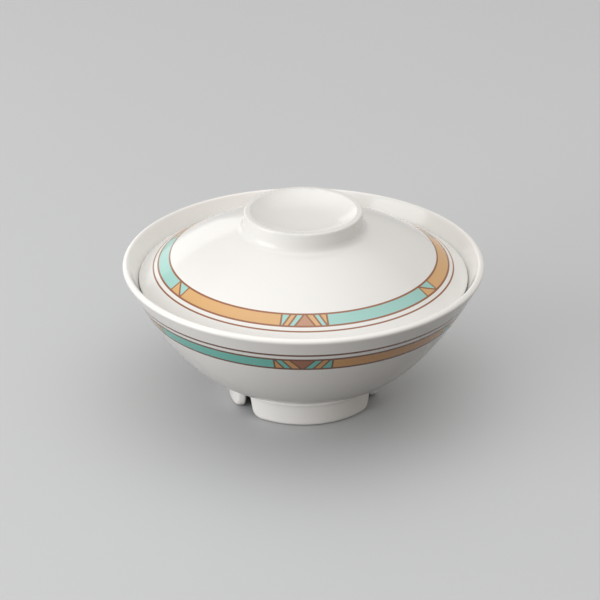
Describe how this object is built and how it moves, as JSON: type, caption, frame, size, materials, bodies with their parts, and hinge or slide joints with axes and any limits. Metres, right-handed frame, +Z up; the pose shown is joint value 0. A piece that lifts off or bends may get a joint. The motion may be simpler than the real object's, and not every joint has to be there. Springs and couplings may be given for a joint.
{
  "type": "lidded donburi bowl",
  "caption": "Round footed rice bowl with a drop-in domed lid: flared thin wall, notched foot ring, ring knob on the lid, printed geometric border on both pieces.",
  "frame": {"origin": "on the table, under the centre of the foot ring", "axes": "+Z up along the turning axis; -Y is the side that faces the viewer in the picture, so one foot segment faces -Y"},
  "size_m": [0.16, 0.16, 0.0898],
  "materials": {
    "bowl_melamine": "glossy moulded melamine, white, with a printed border under the clear surface",
    "lid_melamine": "glossy moulded melamine, white, with a printed border under the clear surface"
  },
  "bodies": {
    "bowl": {"bowl": "bowl_melamine"},
    "lid": {"lid": "lid_melamine"}
  },
  "joints": [
    {"name": "lid_lift", "type": "slide", "parent": "bowl", "child": "lid", "axis": [0, 0, 1], "range_m": [0, 0.08]}
  ]
}
